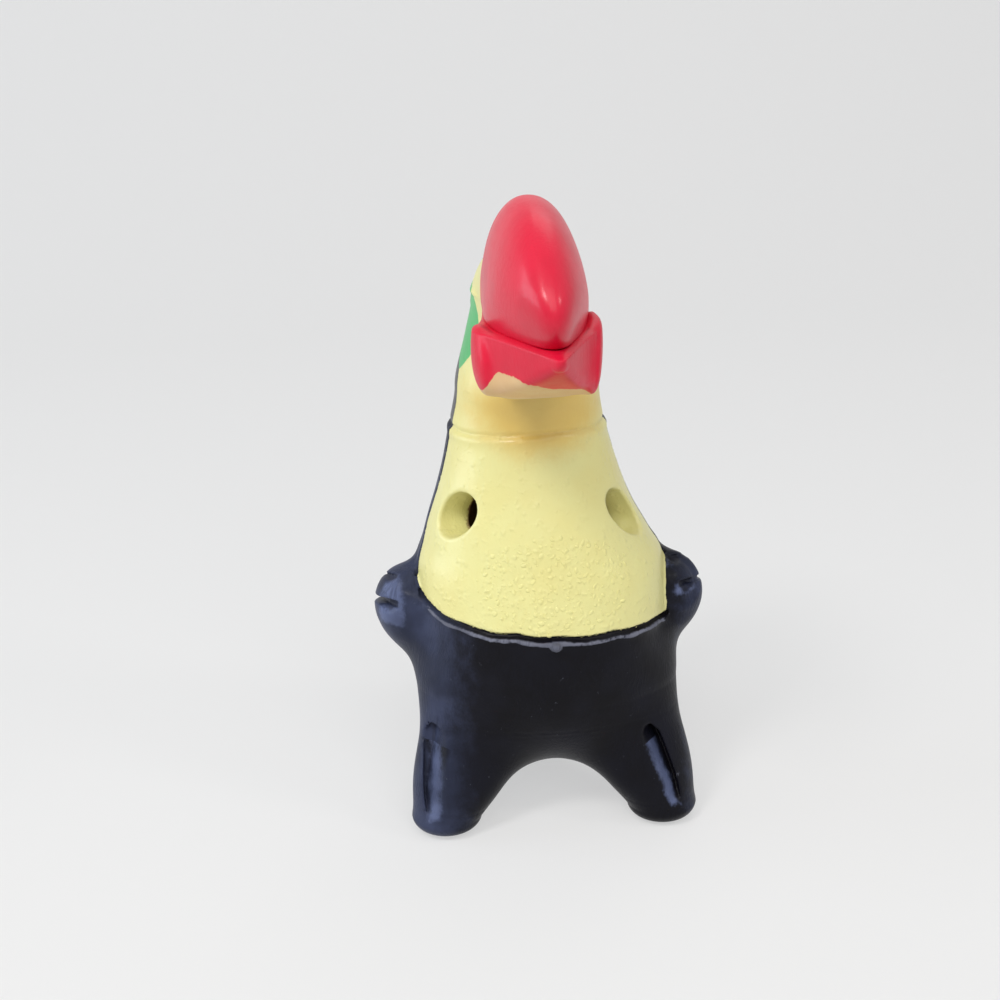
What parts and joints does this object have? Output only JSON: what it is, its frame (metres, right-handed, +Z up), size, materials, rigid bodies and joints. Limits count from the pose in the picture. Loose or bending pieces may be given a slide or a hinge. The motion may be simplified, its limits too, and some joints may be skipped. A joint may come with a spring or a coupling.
{
  "type": "clay bird whistle",
  "caption": "Fired-clay vessel whistle shaped as a standing toucan, with a hollow body, finger holes in a yellow breast, a large red bill, splayed feet and a tail mouthpiece.",
  "frame": {"origin": "on the ground, under the middle of the overall length and width", "axes": "+Z up, the bird looks along -Y, its left wing is towards +X"},
  "size_m": [0.058, 0.0926, 0.1099],
  "materials": {
    "yellow_paint": "satin paint over fired clay",
    "black_paint": "semi-gloss paint over fired clay",
    "red_paint": "gloss paint over fired clay",
    "eye_paint": "gloss paint over fired clay"
  },
  "bodies": {
    "root": {"breast_shell": "yellow_paint", "belly_shell": "black_paint", "head": "yellow_paint", "upper_bill": "red_paint", "lower_bill": "red_paint", "left_eye": "eye_paint", "right_eye": "eye_paint", "left_wing": "black_paint", "right_wing": "black_paint", "left_leg": "black_paint", "right_leg": "black_paint", "tail": "black_paint"}
  },
  "joints": []
}
